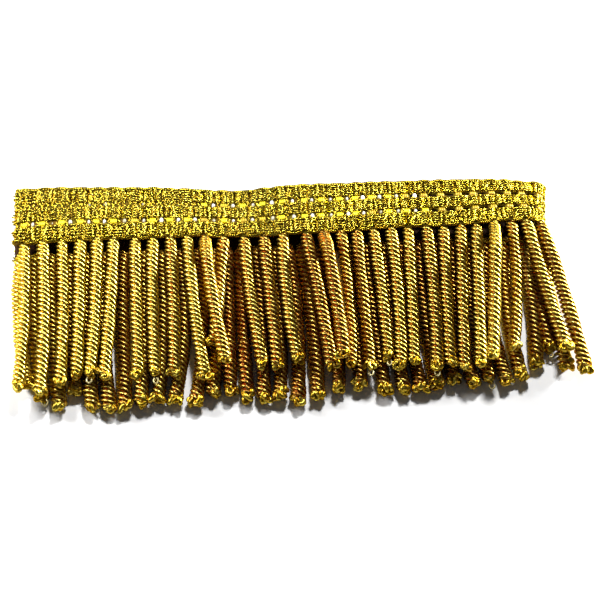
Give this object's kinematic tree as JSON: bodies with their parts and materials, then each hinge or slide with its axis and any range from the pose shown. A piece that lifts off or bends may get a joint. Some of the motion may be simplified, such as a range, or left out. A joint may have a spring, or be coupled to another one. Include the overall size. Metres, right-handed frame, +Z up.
{
  "type": "bullion fringe trim",
  "caption": "Gold metallic bullion fringe: a woven gimp heading with a skirt of twisted rope strands, a cut length folded once so that two layers lie one over the other",
  "frame": {"origin": "on the flat underside of the lower heading layer, near the middle of its length, on the surface that the trim lies on", "axes": "+X runs along the heading towards the fold, +Y from the strands' tips to the heading's top edge, +Z up from the surface"},
  "size_m": [0.1126, 0.0492, 0.0096],
  "materials": {
    "heading": "looped metallic gold gimp with a fine sparkle",
    "fringe": "metallic gold yarn, twisted tight, bright on its ridges and brown in its grooves"
  },
  "bodies": {
    "root": {"heading": "heading", "fringe": "fringe"}
  },
  "joints": []
}
